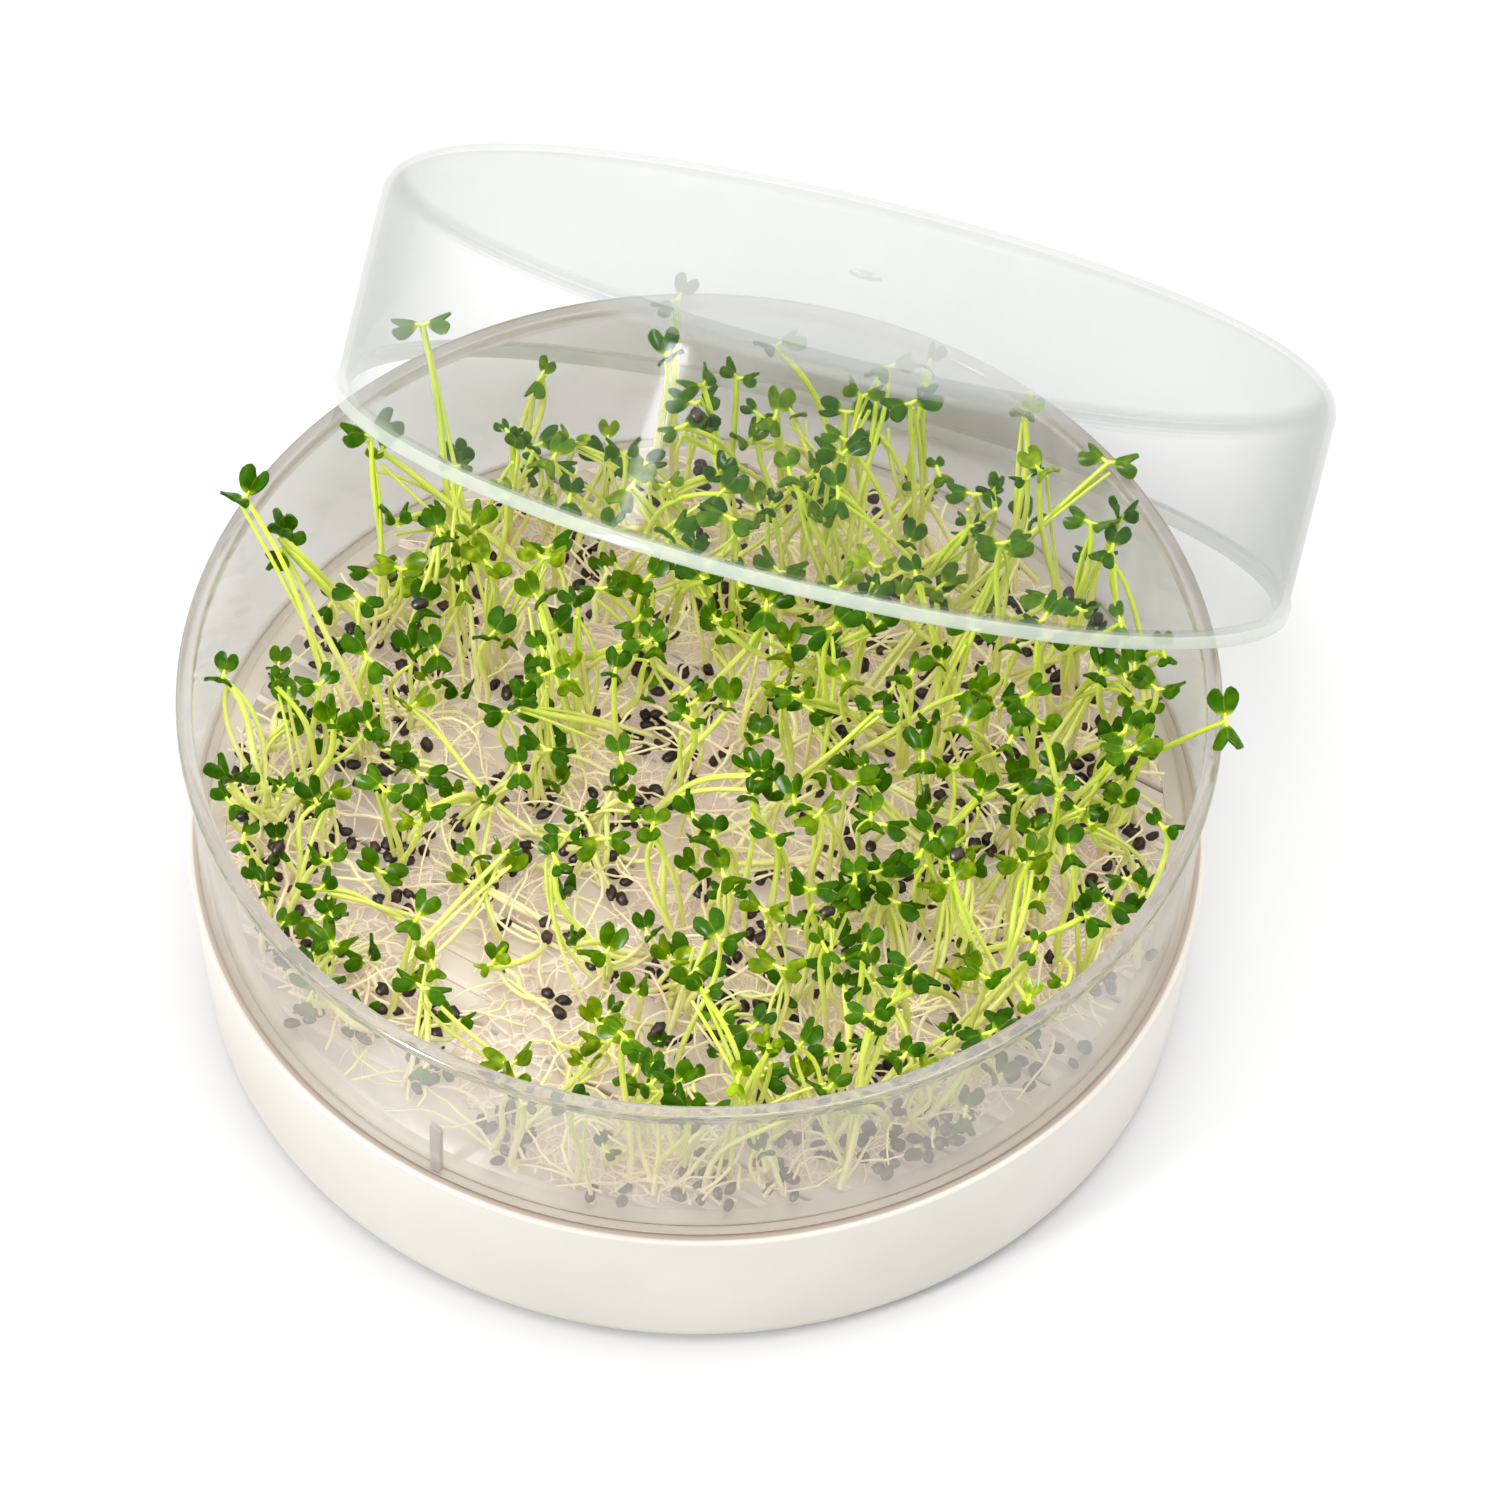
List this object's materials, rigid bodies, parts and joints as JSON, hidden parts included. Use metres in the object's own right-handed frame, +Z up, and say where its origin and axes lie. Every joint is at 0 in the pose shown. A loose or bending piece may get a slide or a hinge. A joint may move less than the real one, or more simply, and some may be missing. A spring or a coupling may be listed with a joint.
{
  "type": "microgreens sprouting tray",
  "caption": "Round clear sprouting tray of notched-leaf seedlings on a milky water dish, its clear domed lid leaning on the rim.",
  "frame": {"origin": "centre of the water dish's flat underside, on the table", "axes": "+Z up; -Y is the front of the tray, away from the lid; the lid leans on the back, towards +Y and a little +X"},
  "size_m": [0.1667, 0.1974, 0.1185],
  "materials": {
    "milky_plastic": "translucent milky white, satin moulded",
    "clear_plastic": "clear rigid polystyrene, polished",
    "clear_lid_plastic": "clear rigid polystyrene, polished",
    "leaf": "fresh green seed leaves, soft sheen",
    "stem": "pale yellow-green stems",
    "root": "matted off-white root hairs",
    "hull": "dark brown seed hulls"
  },
  "bodies": {
    "root": {"water_dish": "milky_plastic", "sprouting_tray": "clear_plastic", "lid": "clear_lid_plastic", "sprouts_01": "leaf", "sprouts_02": "leaf", "sprouts_03": "leaf", "sprouts_04": "leaf", "sprouts_05": "leaf", "sprouts_06": "leaf", "sprouts_07": "leaf", "sprouts_08": "leaf", "sprouts_09": "leaf", "sprouts_10": "leaf", "sprouts_11": "leaf", "sprouts_12": "leaf", "sprouts_13": "leaf", "sprouts_14": "leaf", "sprouts_15": "leaf", "sprouts_16": "leaf", "sprouts_17": "leaf", "sprouts_18": "leaf"}
  },
  "joints": []
}
